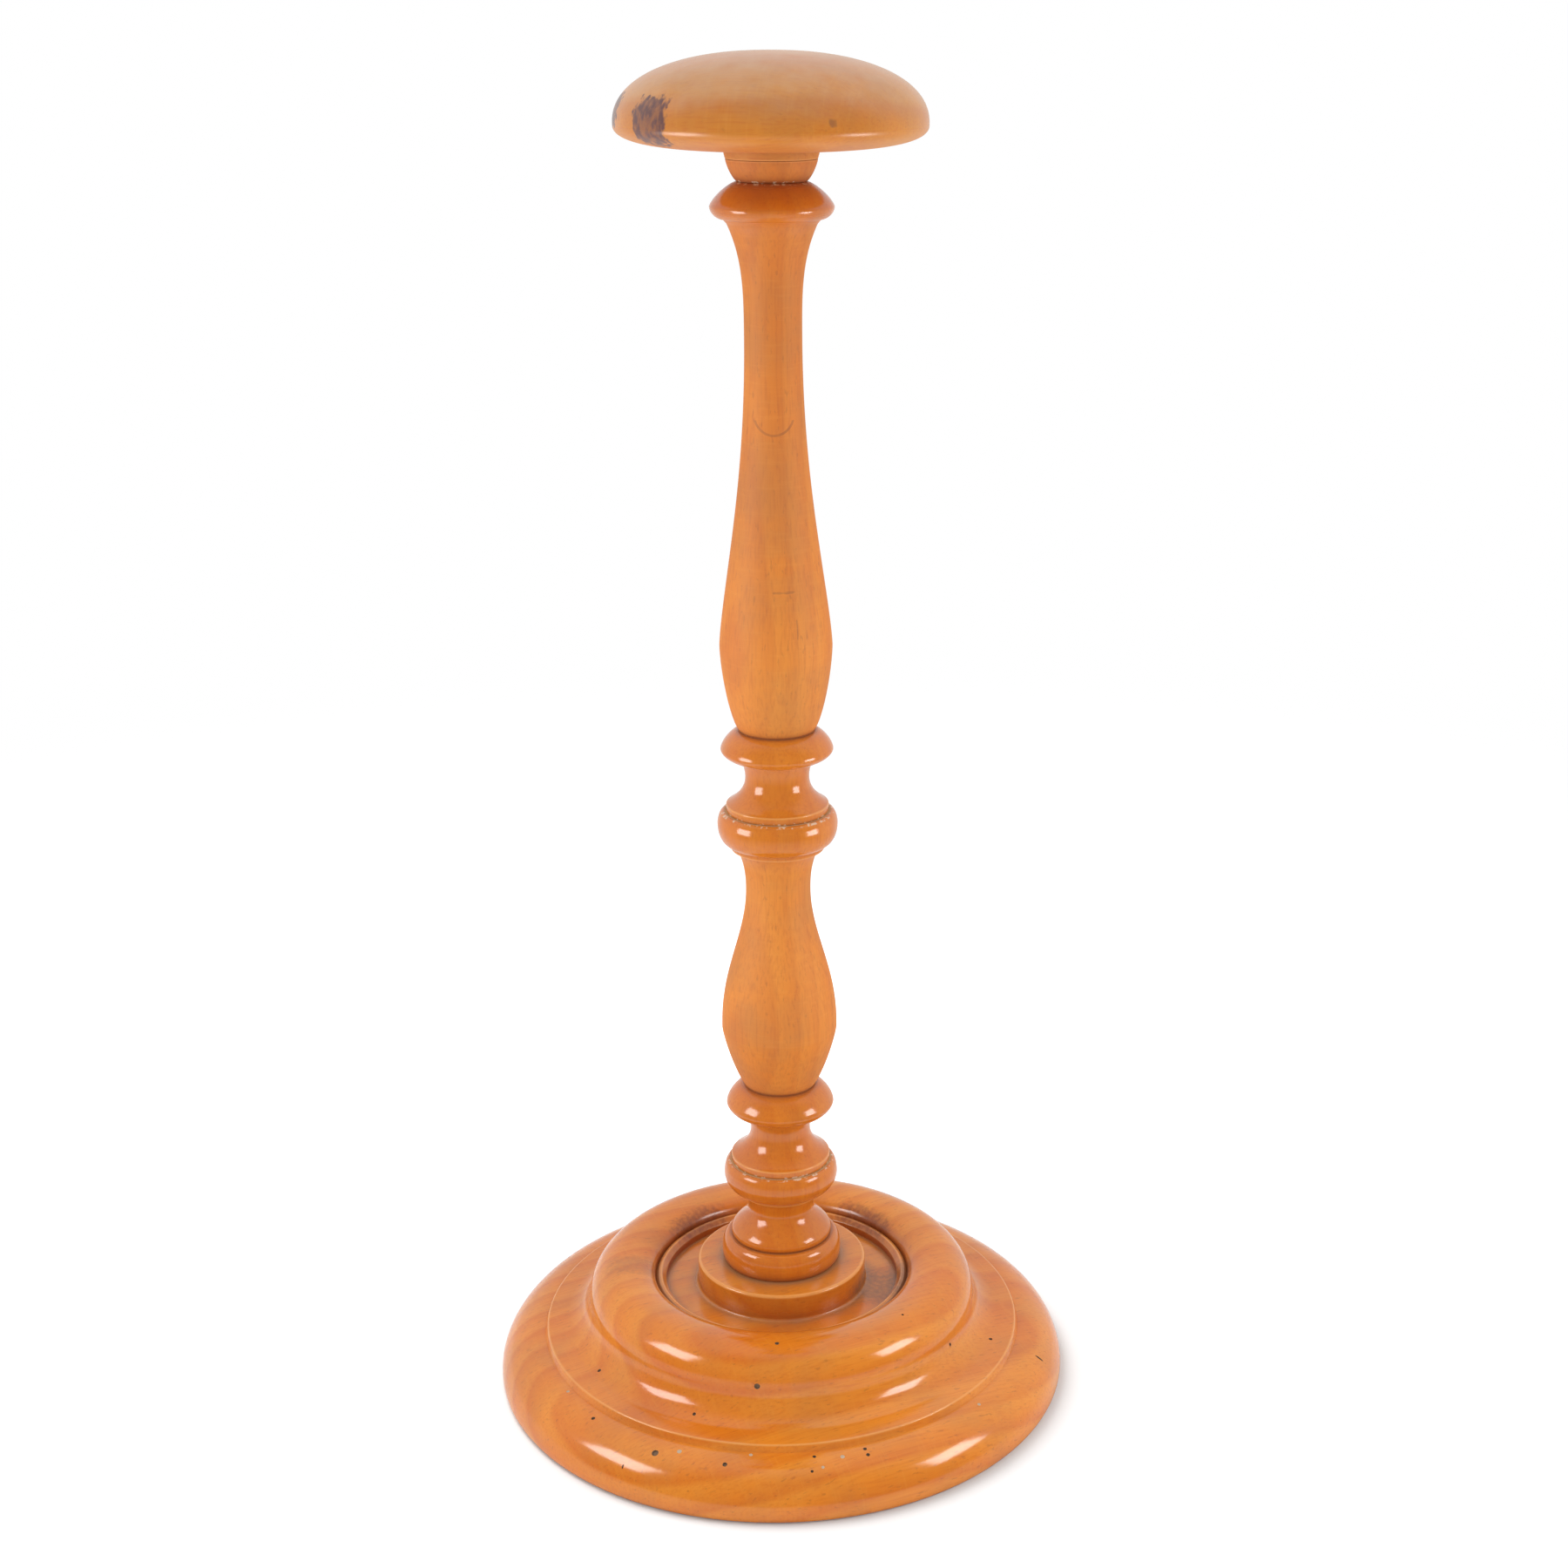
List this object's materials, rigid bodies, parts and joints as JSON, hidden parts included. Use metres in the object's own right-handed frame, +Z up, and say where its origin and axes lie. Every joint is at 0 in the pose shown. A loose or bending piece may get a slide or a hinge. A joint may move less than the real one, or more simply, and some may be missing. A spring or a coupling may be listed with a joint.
{
  "type": "wig stand",
  "caption": "Turned fruitwood wig stand: mushroom head on a knopped baluster column over a wide moulded foot with a pin well; comes apart at its knops.",
  "frame": {"origin": "centre of the foot's flat underside, on the axis that the stand is turned about", "axes": "+Z up along the turning axis, +X to the right and -Y towards the viewer of the picture"},
  "size_m": [0.18, 0.18, 0.4055],
  "materials": {
    "head_wood": "polished, with a grey bloom on top",
    "column_wood": "french polished",
    "foot_wood": "french polished",
    "wedge_wood": "bare"
  },
  "bodies": {
    "base": {"base_foot": "foot_wood", "tenon_wedge": "wedge_wood", "pedestal": "column_wood", "lower_spool": "column_wood"},
    "lower_column": {"lower_baluster": "column_wood", "upper_spool": "column_wood"},
    "upper_column": {"upper_baluster": "column_wood"},
    "neck": {"neck_cup": "column_wood"},
    "head": {"head_dome": "head_wood"}
  },
  "joints": [
    {"name": "lower_column_lift", "type": "slide", "parent": "base", "child": "lower_column", "axis": [0, 0, 1], "range_m": [0, 0.042]},
    {"name": "upper_column_lift", "type": "slide", "parent": "lower_column", "child": "upper_column", "axis": [0, 0, 1], "range_m": [0, 0.042]},
    {"name": "neck_lift", "type": "slide", "parent": "upper_column", "child": "neck", "axis": [0, 0, 1], "range_m": [0, 0.018]},
    {"name": "head_turn", "type": "hinge", "parent": "neck", "child": "head", "pos_m": [0, 0, 0.377], "axis": [0, 0, 1], "continuous": true}
  ]
}
